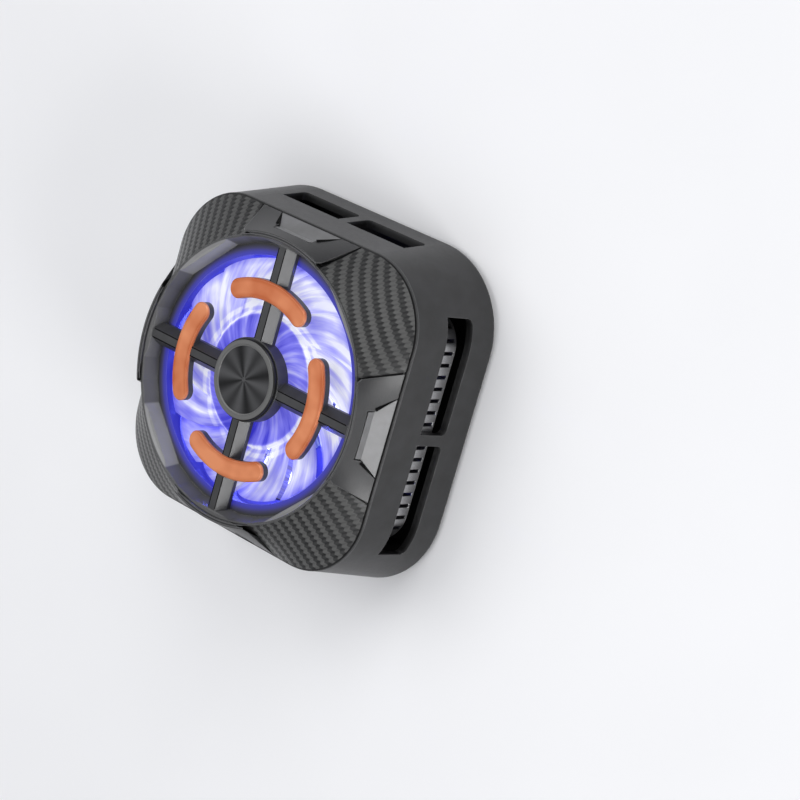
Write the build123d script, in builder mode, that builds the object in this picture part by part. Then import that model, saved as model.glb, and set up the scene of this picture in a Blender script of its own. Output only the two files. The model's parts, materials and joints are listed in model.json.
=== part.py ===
from build123d import *
import os
from math import cos, radians, sin, sqrt, tan

# Magnetic phone cooling fan. Sizes are millimetres and angles degrees. +Z points out of the fan, X runs
# along the fins, and the origin is the centre of the face that lies on the phone.

# Case
case_width = 59.6
case_corner_radius = 15.0
case_height = 18.0
case_draft = 7.4
case_wall = 1.4
rear_edge_radius = 0.8
pad_thickness = 0.6
post_wall_gap = 0.335
post_radius = 2.0
post_height = 9.0

# Vent slots, the long ones in the X walls and the short ones in the Y walls
long_vent_end = 20.9
long_vent_height = 5.7
long_vent_rise = 5.5
vent_depth = 5.0
short_vent_end = 14.2
short_vent_height = 5.8
short_vent_rise = 5.1
vent_bridge = 1.9
vent_corner_radius = 1.0
port_vent_start = 7.0

# Front cover
seam_gap = 0.3
seam_inset = 0.35
cover_inset = 0.262
mouth_rise = 5.9
mouth_radius = 23.9
mouth_bevel = 0.4
mouth_edge_width = 0.35
throat_depth = 2.8
throat_gap = 0.05
throat_flare = 0.9
throat_facet_angles = (11.0, 20.7, 30.5)
corner_start_angle = 26.0
inlay_thickness = 0.9
inlay_gap = 0.35
skirt_depth = 1.5
skirt_wall = 1.2
skirt_gap = 0.15
shroud_wall = 1.5
boss_radius = 2.0
boss_bite = 0.1

# Side panels and their inserts
rim_rise = 0.4
rim_gap = 0.1
rim_width = 0.85
panel_foot_width = 22.3
panel_rim_angle = 20.7
panel_thickness = 1.4
pocket_depth = 0.9
pocket_foot_width = 14.0
pocket_knee_width = 8.7
pocket_top_width = 8.4
pocket_knee_rise = 3.2
pocket_rise = 4.75
insert_knee_depth = 0.55
insert_lip_depth = 0.12
insert_gap = 0.22

# Guard
guard_height = 2.4
spoke_width = 3.9
spoke_edge_height = 0.8
spoke_ridge_width = 1.65
drum_radius = 7.1
drum_height = 2.5
bezel_radius = 6.87
bezel_height = 0.75
bezel_bevel = 0.25
disc_radius = 5.9
disc_height = 0.6
disc_gap = 0.05
arc_radius = 15.35
arc_width = 3.4
arc_half_angle = 27.4
arc_rise = 1.0
arc_base_height = 1.15
arc_plate_thickness = 0.5
arc_bevel = 0.2

# Impeller and its motor
rotor_gap = 0.5
rotor_height = 6.6
tip_gap = 0.5
blade_tip_radius = 20.4
blade_count = 13
blade_sweep = 28.0
blade_root_chord = 10.4
blade_tip_chord = 14.0
blade_root_pitch = 32.0
blade_tip_pitch = 18.0
blade_camber = 0.9
blade_thickness = 0.8
blade_root_bite = 0.2
blade_drop = 0.5
blade_section_shares = (0, 0.5, 1)
hub_radius = 11.5
hub_wall = 1.5
hub_top_thickness = 1.3
hub_edge_bevel = 0.4
yoke_wall = 0.6
magnet_wall = 1.2
magnet_height = 3.8
magnet_inset = 0.4
shaft_radius = 1.0
shaft_boss_radius = 2.2
shaft_boss_height = 0.7
bearing_gap = 0.05
bearing_radius = 2.5
bearing_tube_wall = 0.9
bearing_clearance = 0.6
bearing_foot_gap = 0.2
shaft_foot_gap = 0.2
air_gap = 0.5
stator_height = 2.4
stator_foot_gap = 1.2
pole_count = 4
pole_neck_width = 2.0
pole_tip_thickness = 1.0
pole_tip_angle = 62.0
yoke_ring_thickness = 1.0
winding_thickness = 0.9
winding_gap = 0.1

# Fan frame and motor board
frame_thickness = 0.9
frame_gap = 0.2
motor_plate_radius = 13.2
strut_width = 3.0
lug_radius = 2.4
motor_board_thickness = 0.5
motor_board_inset = 0.2
emitter_count = 8
emitter_radius = 12.2
emitter_length = 1.6
emitter_width = 0.8
emitter_height = 0.4
emitter_gap = 0.4

# Rear cover, magnets and pads
rear_cover_thickness = 1.8
rear_cover_gap = 0.15
magnet_ring_radius = 25.6
magnet_ring_width = 4.6
magnet_ring_thickness = 0.9
magnet_ring_count = 16
magnet_gap_angle = 1.6
steel_ring_thickness = 0.3
pad_radius = 27.0
pad_width = 8.0
thermal_pad_radius = 17.4
thermal_pad_thickness = 0.5

# Cold plate, thermoelectric module and heat sink
cold_plate_radius = 18.0
cold_plate_gap = 0.15
cold_flange_margin = 2.0
cold_flange_radius = 3.0
cold_flange_thickness = 1.2
module_width = 30.0
ceramic_thickness = 0.5
element_height = 1.4
element_width = 2.0
element_count = 6
gasket_gap = 0.2
gasket_wall = 1.0
sink_gap = 0.2
sink_core_thickness = 0.7
sink_plate_thickness = 0.45
sink_overhang = 3.0
sink_corner_radius = 6.0
fin_pitch = 2.07
fin_thickness = 1.4

# Control board and power socket
board_rise = 3.8
board_thickness = 0.8
board_width = 12.0
board_depth = 5.8
board_tail = 0.04
board_gap = 0.55
peg_radius = 1.2
peg_offset = 4.2
chip_width = 3.0
chip_height = 0.9
socket_width = 8.94
socket_height = 3.26
socket_length = 7.3
socket_wall = 0.3
socket_inset = 0.45
port_gap = 0.18
tongue_width = 6.7
tongue_thickness = 0.7
tongue_inset = 0.8

# Screws
screw_radius = 0.8
screw_head_radius = 1.5
screw_head_height = 0.7
screw_gap = 0.1
case_screw_length = 7.0
fan_screw_length = 3.6
plate_screw_gap = 1.0
plate_screw_bite = 1.0

# Length by which every cutting shape runs past the face that it cuts
overrun = 1.0

# Levels, counted from the face on the phone
case_z = pad_thickness
front_z = case_z + case_height
cover_z = front_z + seam_gap
mouth_z = cover_z + mouth_rise
rim_z = mouth_z + rim_rise
floor_z = mouth_z - throat_depth
rotor_top_z = floor_z - rotor_gap
rotor_z = rotor_top_z - rotor_height
emitter_z = rotor_z - emitter_gap - emitter_height
motor_board_z = emitter_z - motor_board_thickness
frame_z = motor_board_z - frame_thickness
bearing_top_z = rotor_top_z - hub_top_thickness - yoke_wall - shaft_boss_height - bearing_clearance
stator_z = motor_board_z + motor_board_thickness + stator_foot_gap
steel_ring_z = case_z + magnet_ring_thickness
inside_z = case_z + rear_cover_thickness
module_z = inside_z + cold_flange_thickness
element_z = module_z + ceramic_thickness
hot_plate_z = element_z + element_height
sink_z = hot_plate_z + ceramic_thickness
sink_plate_z = sink_z + sink_core_thickness
fin_z = sink_plate_z + sink_plate_thickness
fin_top_z = frame_z - frame_gap
board_z = inside_z + board_rise
socket_z = board_z + board_thickness + socket_height / 2


def case_half_width(z):
    """Distance from the axis to the outside of a flat case wall at a height."""
    return case_width / 2 - (z - case_z) * tan(radians(case_draft))


def corner_offset(z, inset):
    """X and Y of the place on the diagonal that lies an inset inside the rounded case corner at a height."""
    centre = case_width / 2 - case_corner_radius
    return centre + (case_half_width(z) - centre - inset) / sqrt(2)


# Sizes that follow from the ones above
post_offset = corner_offset(inside_z, case_wall + post_wall_gap + post_radius)
boss_offset = corner_offset(front_z, case_wall + skirt_gap + skirt_wall + boss_radius - boss_bite)
cover_width = 2 * (case_half_width(front_z) - cover_inset)
cover_corner_radius = case_corner_radius - (case_width - cover_width) / 2
throat_radius = mouth_radius - throat_gap - throat_flare
rim_radius = mouth_radius + rim_gap + rim_width
bore_radius = blade_tip_radius + tip_gap
shroud_radius = bore_radius + shroud_wall
yoke_radius = hub_radius - hub_wall
magnet_radius = yoke_radius - yoke_wall
stator_radius = magnet_radius - magnet_wall - air_gap
bearing_tube_radius = bearing_radius + bearing_tube_wall
magnet_pocket_depth = magnet_ring_thickness + steel_ring_thickness
plate_screw_offset = module_width / 2 + gasket_gap + gasket_wall + plate_screw_gap + screw_radius
plate_screw_length = sink_z + plate_screw_bite - inside_z
cold_flange_width = 2 * (plate_screw_offset + cold_flange_margin)
socket_front_y = socket_inset - case_half_width(socket_z)
board_back_y = socket_front_y + socket_length + board_tail
sink_length = 2 * (case_half_width(fin_top_z) - case_wall - sink_gap)
sink_room = min(post_offset - post_radius - sink_gap, -board_back_y - board_gap)
fin_count = int((2 * sink_room - fin_thickness) / fin_pitch) + 1
sink_width = (fin_count - 1) * fin_pitch + fin_thickness


def tapered_block(inset, height, mode=Mode.ADD):
    """Rounded block that keeps one distance from the outside of the case, from its rear edge upward."""
    width = case_width - 2 * inset
    with BuildSketch(Plane.XY.offset(case_z)) as outline:
        RectangleRounded(width, width, case_corner_radius - inset)
    extrude(outline.sketch, amount=height, taper=case_draft, mode=mode)


def square_corners(offset):
    """Places of the four pieces that stand in the corners of a square."""
    return GridLocations(2 * offset, 2 * offset, 2, 2)


def vent_slot(plane, start, end, rise, height, depth):
    """Cut one vent slot, from start to end along the wall, through the wall that faces the plane."""
    with BuildSketch(plane) as slot:
        with Locations(((start + end) / 2, case_z + rise + height / 2)):
            Rectangle(abs(end - start), height)
        low_corners = slot.vertices().group_by(Axis.Y)[0]
        fillet(low_corners, vent_corner_radius)
    extrude(slot.sketch, amount=-depth, mode=Mode.SUBTRACT)


def wall_plane(turn):
    """Upright plane outside a flat wall, with its X along the wall and its Y upward."""
    out = Vector(cos(radians(turn)), sin(radians(turn)), 0)
    along = Vector(-sin(radians(turn)), cos(radians(turn)), 0)
    return Plane(origin=out * (case_width / 2 + overrun), x_dir=along, z_dir=out)


# Main case: a tapered wall with slots on all four sides, screw posts and the power port
def make_main_case():
    with BuildPart() as case:
        tapered_block(0, case_height)
        tapered_block(case_wall, case_height + overrun, mode=Mode.SUBTRACT)
        with BuildSketch(Plane.XY.offset(inside_z)):
            with square_corners(post_offset):
                Circle(post_radius)
        extrude(amount=post_height)
        tapered_block(0, case_height, mode=Mode.INTERSECT)
        rear_rim = case.faces().sort_by(Axis.Z)[0].outer_wire().edges()
        fillet(rear_rim, rear_edge_radius)
        with BuildSketch(Plane.XY.offset(inside_z)):
            with square_corners(post_offset):
                Circle(screw_radius)
        extrude(amount=case_screw_length, mode=Mode.SUBTRACT)
        for turn in (0, 180):
            for side in (-1, 1):
                vent_slot(
                    wall_plane(turn),
                    side * vent_bridge / 2,
                    side * long_vent_end,
                    long_vent_rise,
                    long_vent_height,
                    vent_depth,
                )
        for turn, start in ((90, vent_bridge / 2), (270, port_vent_start)):
            for side in (-1, 1):
                vent_slot(
                    wall_plane(turn),
                    side * start,
                    side * short_vent_end,
                    short_vent_rise,
                    short_vent_height,
                    vent_depth,
                )
        with BuildSketch(wall_plane(270)):
            with Locations((0, socket_z)):
                SlotOverall(socket_width + 2 * port_gap, socket_height + 2 * port_gap)
        extrude(amount=-vent_depth, mode=Mode.SUBTRACT)
    return case


def make_dome(drop):
    """Sloping dome from the square seam up to the round mouth, lowered by drop: four equal quarters."""
    span = 2 * corner_start_angle
    with BuildPart() as quarter:
        with BuildSketch(Plane.XY.offset(cover_z - drop)) as foot:
            RectangleRounded(cover_width, cover_width, cover_corner_radius)
        with BuildLine(Plane.XY.offset(mouth_z - drop)) as mouth:
            for side in range(4):
                CenterArc((0, 0), mouth_radius, side * 90 - corner_start_angle, span)
                CenterArc((0, 0), mouth_radius, side * 90 + corner_start_angle, 90 - span)
        loft([foot.sketch, Face(mouth.wire())], ruled=True)
        with BuildSketch(Plane.XY.offset(cover_z - drop)) as square:
            Rectangle(cover_width, cover_width, align=(Align.MIN, Align.MIN))
        extrude(square.sketch, amount=mouth_rise, mode=Mode.INTERSECT)
    with BuildPart() as dome:
        for number in range(4):
            add(quarter.part, rotation=(0, 0, number * 90))
    return dome.part


def throat_polygon(radius):
    """Outline of the throat: straight facets that meet at set angles from each spoke."""
    points = []
    for quarter in range(4):
        for angle in [-a for a in reversed(throat_facet_angles)] + list(throat_facet_angles):
            turn = radians(quarter * 90 + angle)
            points.append((radius * cos(turn), radius * sin(turn)))
    Polygon(*points, align=None)


def throat(mode):
    """Faceted funnel from the floor ring up through the mouth."""
    reach = 1 + overrun / throat_depth
    with BuildSketch(Plane.XY.offset(floor_z)) as low:
        throat_polygon(throat_radius)
    with BuildSketch(Plane.XY.offset(floor_z + throat_depth * reach)) as high:
        throat_polygon(throat_radius + throat_flare * reach)
    loft([low.sketch, high.sketch], ruled=True, mode=mode)


# A side panel's plane leans from the seam's edge to the rim, and its edges run inward in upright planes
panel_foot = Vector(cover_width / 2, 0, cover_z)
panel_rise = rim_z - cover_z
panel_up = Vector(rim_radius - cover_width / 2, 0, panel_rise).normalized()
panel_plane = Plane(origin=panel_foot, x_dir=(0, 1, 0), z_dir=Vector(0, 1, 0).cross(panel_up))
rim_end = Vector(rim_radius * cos(radians(panel_rim_angle)), rim_radius * sin(radians(panel_rim_angle)))
foot_end = Vector(cover_width / 2, panel_foot_width / 2)
edge_slope = (foot_end.Y - rim_end.Y) / (foot_end.X - rim_end.X)
panel_inner_x = bore_radius
panel_inner_y = rim_end.Y - (rim_end.X - panel_inner_x) * edge_slope


def panel_envelope():
    """Space of one side panel: between its leaning face and its two upright edges."""
    with BuildSketch(Plane.XY.offset(cover_z)) as foot:
        Polygon(
            (panel_inner_x, -panel_inner_y),
            (foot_end.X, -foot_end.Y),
            (foot_end.X, foot_end.Y),
            (panel_inner_x, panel_inner_y),
            align=None,
        )
    with BuildSketch(Plane.XY.offset(rim_z)) as rim:
        with BuildLine():
            Line((panel_inner_x, -panel_inner_y), (rim_end.X, -rim_end.Y))
            CenterArc((0, 0), rim_radius, -panel_rim_angle, 2 * panel_rim_angle)
            Line((rim_end.X, rim_end.Y), (panel_inner_x, panel_inner_y))
            Line((panel_inner_x, panel_inner_y), (panel_inner_x, -panel_inner_y))
        make_face()
    loft([foot.sketch, rim.sketch], ruled=True)


def panel_seat():
    """Trim a panel to its thickness and to the inside of the rim."""
    split(bisect_by=panel_plane.offset(-panel_thickness), keep=Keep.TOP)
    with BuildSketch(Plane.XY.offset(cover_z - overrun)) as mouth:
        Circle(rim_radius - rim_width)
    extrude(mouth.sketch, amount=panel_rise + 2 * overrun, mode=Mode.SUBTRACT)


def pocket_outline(gap):
    """Bow-tie half on the panel's face: wide at the seam, narrow above its knee."""
    Polygon(
        (-pocket_foot_width / 2 + gap, -overrun),
        (pocket_foot_width / 2 - gap, -overrun),
        (pocket_foot_width / 2 - gap, 0),
        (pocket_knee_width / 2 - gap, pocket_knee_rise),
        (pocket_top_width / 2 - gap, pocket_rise),
        (-pocket_top_width / 2 + gap, pocket_rise),
        (-pocket_knee_width / 2 + gap, pocket_knee_rise),
        (-pocket_foot_width / 2 + gap, 0),
        align=None,
    )


def make_side_panel():
    with BuildPart() as panel:
        panel_envelope()
        panel_seat()
        with BuildSketch(panel_plane.offset(-pocket_depth)):
            pocket_outline(0)
        extrude(amount=pocket_depth + overrun, mode=Mode.SUBTRACT)
    return panel


# Insert of a panel: two flat faces that dip to a knee
def make_panel_insert():
    along = Plane(origin=panel_foot, x_dir=panel_up, z_dir=(0, 1, 0))
    with BuildPart() as insert:
        with BuildSketch(along):
            Polygon(
                (0, 0),
                (pocket_knee_rise, -insert_knee_depth),
                (pocket_rise - insert_gap, -insert_lip_depth),
                (pocket_rise - insert_gap, -pocket_depth),
                (0, -pocket_depth),
                align=None,
            )
        extrude(amount=pocket_foot_width, both=True)
        with BuildSketch(panel_plane.offset(-panel_thickness)):
            pocket_outline(insert_gap)
        extrude(amount=panel_thickness + overrun, mode=Mode.INTERSECT)
        split(bisect_by=Plane.XY.offset(cover_z), keep=Keep.TOP)
    return insert


# Corner inlay: the sloping skin between two panels, seated on the cover's core
def make_corner_inlay(core):
    side = Vector(foot_end.X - rim_end.X, foot_end.Y - rim_end.Y).normalized()
    shift = Vector(-side.Y, side.X) * inlay_gap
    near = Vector(panel_inner_x, panel_inner_y) + shift
    far = foot_end + side * cover_width / 2 + shift
    with BuildPart() as inlay:
        add(make_dome(0))
        with BuildSketch(Plane.XY.offset(cover_z)):
            Polygon(
                (near.X, near.Y),
                (far.X, far.Y),
                (far.X, far.X),
                (far.Y, far.X),
                (near.Y, near.X),
                align=None,
            )
        extrude(amount=mouth_rise + overrun, mode=Mode.INTERSECT)
        add(core, mode=Mode.SUBTRACT)
        with BuildSketch(Plane.XY.offset(cover_z)):
            Circle(mouth_radius + mouth_edge_width)
        extrude(amount=mouth_rise + overrun, mode=Mode.SUBTRACT)
    return inlay


# Front cover: sloping core, skirt inside the case, faceted throat, fan shroud and screw bosses
def make_front_cover(core, panel):
    flange_width = cover_width - 2 * seam_inset
    skirt_width = 2 * (case_half_width(front_z) - case_wall - skirt_gap)
    skirt_corner = case_corner_radius - (case_width - skirt_width) / 2
    with BuildPart() as cover:
        add(core)
        split(bisect_by=Plane.XY.offset(cover_z), keep=Keep.TOP)
        with BuildSketch(Plane.XY.offset(front_z)):
            RectangleRounded(flange_width, flange_width, cover_corner_radius - seam_inset)
        extrude(amount=seam_gap)
        with BuildSketch(Plane.XY.offset(floor_z)):
            Circle(mouth_radius + mouth_edge_width)
        extrude(amount=throat_depth)
        with BuildSketch(Plane.XY.offset(front_z)):
            RectangleRounded(skirt_width, skirt_width, skirt_corner)
            inner_width = skirt_width - 2 * skirt_wall
            RectangleRounded(inner_width, inner_width, skirt_corner - skirt_wall, mode=Mode.SUBTRACT)
        extrude(amount=-skirt_depth)
        with BuildSketch(Plane.XY.offset(motor_board_z)):
            Circle(shroud_radius)
            with square_corners(boss_offset):
                Circle(boss_radius)
        extrude(amount=front_z - motor_board_z)
        throat(Mode.SUBTRACT)
        with BuildSketch(Plane.XY.offset(motor_board_z - overrun)):
            Circle(bore_radius)
        extrude(amount=mouth_z - motor_board_z + 2 * overrun, mode=Mode.SUBTRACT)
        with BuildSketch(Plane.XY.offset(mouth_z)):
            Circle(mouth_radius)
        extrude(amount=-mouth_bevel, taper=45, mode=Mode.SUBTRACT)
        with BuildSketch(Plane.XY.offset(motor_board_z)):
            with square_corners(boss_offset):
                Circle(screw_radius)
        extrude(amount=fan_screw_length - frame_thickness + screw_gap, mode=Mode.SUBTRACT)
        for quarter in range(4):
            add(panel.part, rotation=(0, 0, quarter * 90), mode=Mode.SUBTRACT)
    return cover


def arc_outline(width):
    """Round-ended band that follows a circle about the axis, centred on a spoke."""
    with BuildLine() as centre:
        CenterArc((0, 0), arc_radius, -arc_half_angle, 2 * arc_half_angle)
    SlotArc(centre.edges()[0], width)


# Guard: four ridged spokes, a hub drum and four arc bases in one moulding, fitted to the throat's facets
def make_guard():
    base, ridge = spoke_width / 2, spoke_ridge_width / 2
    with BuildPart() as guard:
        for out, along in (((1, 0, 0), (0, 1, 0)), ((0, 1, 0), (-1, 0, 0))):
            with BuildSketch(Plane(origin=(0, 0, floor_z), x_dir=along, z_dir=out)):
                Polygon(
                    (-base, 0),
                    (base, 0),
                    (base, spoke_edge_height),
                    (ridge, guard_height),
                    (-ridge, guard_height),
                    (-base, spoke_edge_height),
                    align=None,
                )
            extrude(amount=mouth_radius + overrun, both=True)
        with BuildSketch(Plane.XY.offset(floor_z)):
            Circle(drum_radius)
        extrude(amount=drum_height)
        with BuildSketch(Plane.XY.offset(floor_z + arc_rise)) as bases:
            arc_outline(arc_width)
            add([bases.sketch.rotate(Axis.Z, quarter * 90) for quarter in (1, 2, 3)])
        extrude(amount=arc_base_height)
        with BuildSketch(Plane.XY.offset(floor_z + arc_rise + arc_base_height)) as plates:
            arc_outline(arc_width)
            add([plates.sketch.rotate(Axis.Z, quarter * 90) for quarter in (1, 2, 3)])
        extrude(amount=guard_height, mode=Mode.SUBTRACT)
        throat(Mode.INTERSECT)
    return guard


def make_accent_arc():
    with BuildPart() as arc:
        with BuildSketch(Plane.XY.offset(floor_z + arc_rise + arc_base_height)):
            arc_outline(arc_width)
        extrude(amount=arc_plate_thickness)
        chamfer(arc.faces().sort_by(Axis.Z)[-1].edges(), arc_bevel)
    return arc


def make_hub_bezel():
    with BuildPart() as bezel:
        with BuildSketch(Plane.XY.offset(floor_z + drum_height)):
            Circle(bezel_radius)
            Circle(disc_radius + disc_gap, mode=Mode.SUBTRACT)
        extrude(amount=bezel_height)
        chamfer(bezel.faces().sort_by(Axis.Z)[-1].edges().sort_by(SortBy.RADIUS)[-1], bezel_bevel)
    return bezel


def make_hub_disc():
    with BuildPart() as disc:
        with BuildSketch(Plane.XY.offset(floor_z + drum_height)):
            Circle(disc_radius)
        extrude(amount=disc_height)
    return disc


def blade_section(share):
    """Cambered section of a blade, at a share of the way from its root to its tip."""
    root_reach = blade_root_chord / 2 * cos(radians(blade_root_pitch))
    root = sqrt(hub_radius**2 - root_reach**2) - blade_root_bite
    radius = root + (blade_tip_radius + overrun - root) * share
    turn = radians(-blade_sweep * share)
    pitch = radians(blade_root_pitch + (blade_tip_pitch - blade_root_pitch) * share)
    half = (blade_root_chord + (blade_tip_chord - blade_root_chord) * share) / 2
    out = Vector(cos(turn), sin(turn), 0)
    middle = out * radius + Vector(0, 0, rotor_top_z - blade_drop - half * sin(pitch))
    plane = Plane(origin=middle, x_dir=Vector(-sin(turn), cos(turn), 0), z_dir=out)
    low = (-half * cos(pitch), -half * sin(pitch))
    high = (half * cos(pitch), half * sin(pitch))
    with BuildSketch(plane) as section:
        with BuildLine():
            SagittaArc(low, high, blade_camber)
            SagittaArc(high, low, -blade_camber - blade_thickness)
        make_face()
    return section.sketch


# Impeller: a cup that carries swept, twisted and cambered blades, with their tips turned to one radius
def make_impeller():
    with BuildPart() as blade:
        loft([blade_section(share) for share in blade_section_shares])
        with BuildSketch(Plane.XY.offset(rotor_z)):
            Circle(blade_tip_radius)
        extrude(amount=rotor_height, mode=Mode.INTERSECT)
    with BuildPart() as impeller:
        with BuildSketch(Plane.XY.offset(rotor_z)):
            Circle(hub_radius)
        extrude(amount=rotor_height)
        chamfer(impeller.faces().sort_by(Axis.Z)[-1].edges(), hub_edge_bevel)
        for number in range(blade_count):
            add(blade.part, rotation=(0, 0, number * 360 / blade_count))
        with BuildSketch(Plane.XY.offset(rotor_z)):
            Circle(yoke_radius)
        extrude(amount=rotor_height - hub_top_thickness, mode=Mode.SUBTRACT)
    return impeller


def make_rotor_yoke():
    height = rotor_height - hub_top_thickness
    with BuildPart() as yoke:
        with BuildSketch(Plane.XY.offset(rotor_z)):
            Circle(yoke_radius)
        extrude(amount=height)
        with BuildSketch(Plane.XY.offset(rotor_z)):
            Circle(magnet_radius)
        extrude(amount=height - yoke_wall, mode=Mode.SUBTRACT)
        with BuildSketch(Plane.XY.offset(rotor_z + height - yoke_wall)):
            Circle(shaft_boss_radius)
        extrude(amount=-shaft_boss_height)
        Hole(shaft_radius)
    return yoke


def make_rotor_magnet():
    with BuildPart() as magnet:
        with BuildSketch(Plane.XY.offset(rotor_z + magnet_inset)):
            Circle(magnet_radius)
            Circle(magnet_radius - magnet_wall, mode=Mode.SUBTRACT)
        extrude(amount=magnet_height)
    return magnet


def make_rotor_shaft():
    foot = motor_board_z + shaft_foot_gap
    with BuildPart() as shaft:
        with BuildSketch(Plane.XY.offset(foot)):
            Circle(shaft_radius)
        extrude(amount=rotor_top_z - hub_top_thickness - foot)
    return shaft


def make_bearing_sleeve():
    foot = motor_board_z + bearing_foot_gap
    with BuildPart() as sleeve:
        with BuildSketch(Plane.XY.offset(motor_board_z)):
            Circle(bearing_radius)
            Circle(shaft_radius + bearing_gap, mode=Mode.SUBTRACT)
        extrude(amount=bearing_top_z - foot)
    return sleeve


# Stator: a ring on the bearing tube with T-shaped poles
def make_stator_core():
    with BuildPart() as core:
        with BuildSketch(Plane.XY.offset(stator_z)):
            Circle(stator_radius)
            Circle(stator_radius - pole_tip_thickness, mode=Mode.SUBTRACT)
            with PolarLocations(0, pole_count, start_angle=180 / pole_count):
                slot_angle = 360 / pole_count - pole_tip_angle
                reach = stator_radius + overrun
                edge = reach * tan(radians(slot_angle / 2))
                Polygon((0, 0), (reach, -edge), (reach, edge), align=None, mode=Mode.SUBTRACT)
            with PolarLocations(0, pole_count):
                with Locations((stator_radius / 2, 0)):
                    Rectangle(stator_radius - pole_tip_thickness / 2, pole_neck_width)
            Circle(bearing_tube_radius + yoke_ring_thickness)
            Circle(bearing_tube_radius, mode=Mode.SUBTRACT)
        extrude(amount=stator_height)
    return core


# Windings: one coil round each pole's neck
def make_stator_windings():
    wide = pole_neck_width + 2 * winding_thickness
    tall = stator_height + 2 * winding_thickness
    start = bearing_tube_radius + yoke_ring_thickness + winding_gap
    end = sqrt((stator_radius - pole_tip_thickness) ** 2 - (wide / 2) ** 2) - winding_gap
    with BuildPart() as windings:
        for number in range(pole_count):
            out = Vector(1, 0, 0).rotate(Axis.Z, number * 360 / pole_count)
            centre = out * start + Vector(0, 0, stator_z + stator_height / 2)
            with BuildSketch(Plane(origin=centre, x_dir=Vector(0, 0, 1).cross(out), z_dir=out)):
                Rectangle(wide, tall)
                Rectangle(pole_neck_width, stator_height, mode=Mode.SUBTRACT)
            extrude(amount=end - start)
    return windings


# Fan frame: a ring under the shroud, four struts with screw lugs, the motor plate and the bearing tube
def make_fan_frame():
    lug_reach = boss_offset * sqrt(2)
    with BuildPart() as frame:
        with BuildSketch(Plane.XY.offset(frame_z)):
            Circle(shroud_radius)
            Circle(bore_radius, mode=Mode.SUBTRACT)
            with PolarLocations(0, 4, start_angle=45):
                with Locations((lug_reach / 2, 0)):
                    Rectangle(lug_reach, strut_width)
            with square_corners(boss_offset):
                Circle(lug_radius)
            Circle(motor_plate_radius)
        extrude(amount=frame_thickness)
        with BuildSketch(Plane.XY.offset(motor_board_z)):
            Circle(bearing_tube_radius)
        extrude(amount=bearing_top_z - motor_board_z)
        with BuildSketch(Plane.XY.offset(motor_board_z)):
            Circle(bearing_radius)
        extrude(amount=bearing_top_z - motor_board_z, mode=Mode.SUBTRACT)
        with Locations(Plane.XY.offset(frame_z)):
            with square_corners(boss_offset):
                screw_shape(fan_screw_length, screw_gap, mode=Mode.SUBTRACT)
    return frame


def make_motor_board():
    with BuildPart() as board:
        with BuildSketch(Plane.XY.offset(motor_board_z)):
            Circle(motor_plate_radius - motor_board_inset)
            Circle(bearing_tube_radius + motor_board_inset, mode=Mode.SUBTRACT)
        extrude(amount=motor_board_thickness)
    return board


def make_light_emitters():
    with BuildPart() as emitters:
        with BuildSketch(Plane.XY.offset(emitter_z)):
            with PolarLocations(emitter_radius, emitter_count):
                Rectangle(emitter_width, emitter_length)
        extrude(amount=emitter_height)
    return emitters


def screw_shape(length, gap=0, mode=Mode.ADD):
    """Countersunk screw that points upward, with its flat head at the level of its place."""
    with Locations((0, 0, screw_head_height / 2)):
        Cone(screw_head_radius + gap, screw_radius + gap, screw_head_height, mode=mode)
    with Locations((0, 0, length / 2)):
        Cylinder(screw_radius + gap, length, mode=mode)


def make_screws(offset, z, length):
    with BuildPart() as screws:
        with Locations(Plane.XY.offset(z)):
            with square_corners(offset):
                screw_shape(length)
    return screws


# Rear cover: a plate inside the case with a magnet groove, the cold plate's hole and the board's pegs
def make_rear_cover():
    with BuildPart() as cover:
        tapered_block(case_wall + rear_cover_gap, rear_cover_thickness)
        with BuildSketch(Plane.XY.offset(case_z)):
            Circle(cold_plate_radius + cold_plate_gap)
        extrude(amount=rear_cover_thickness, mode=Mode.SUBTRACT)
        with BuildSketch(Plane.XY.offset(case_z)):
            Circle(magnet_ring_radius)
            Circle(magnet_ring_radius - magnet_ring_width, mode=Mode.SUBTRACT)
        extrude(amount=magnet_pocket_depth, mode=Mode.SUBTRACT)
        with BuildSketch(Plane.XY.offset(inside_z)):
            with Locations((0, board_back_y - board_depth / 2)):
                with GridLocations(2 * peg_offset, 0, 2, 1):
                    Circle(peg_radius)
        extrude(amount=board_rise)
        with Locations(Plane.XY.offset(case_z)):
            with square_corners(post_offset):
                screw_shape(case_screw_length, screw_gap, mode=Mode.SUBTRACT)
    return cover


def make_ring_magnets():
    span = 360 / magnet_ring_count - magnet_gap_angle
    inner = magnet_ring_radius - magnet_ring_width
    with BuildPart() as magnets:
        with BuildSketch(Plane.XY.offset(case_z)) as ring:
            for number in range(magnet_ring_count):
                start = number * 360 / magnet_ring_count
                with BuildLine():
                    outside = CenterArc((0, 0), magnet_ring_radius, start, span)
                    inside = CenterArc((0, 0), inner, start, span)
                    Line(outside @ 0, inside @ 0)
                    Line(outside @ 1, inside @ 1)
                make_face()
        extrude(ring.sketch, amount=magnet_ring_thickness)
    return magnets


def make_flat_ring(radius, width, z, thickness):
    with BuildPart() as ring:
        with BuildSketch(Plane.XY.offset(z)):
            Circle(radius)
            Circle(radius - width, mode=Mode.SUBTRACT)
        extrude(amount=thickness)
    return ring


def make_thermal_pad():
    with BuildPart() as pad:
        with BuildSketch():
            Circle(thermal_pad_radius)
        extrude(amount=thermal_pad_thickness)
    return pad


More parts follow.
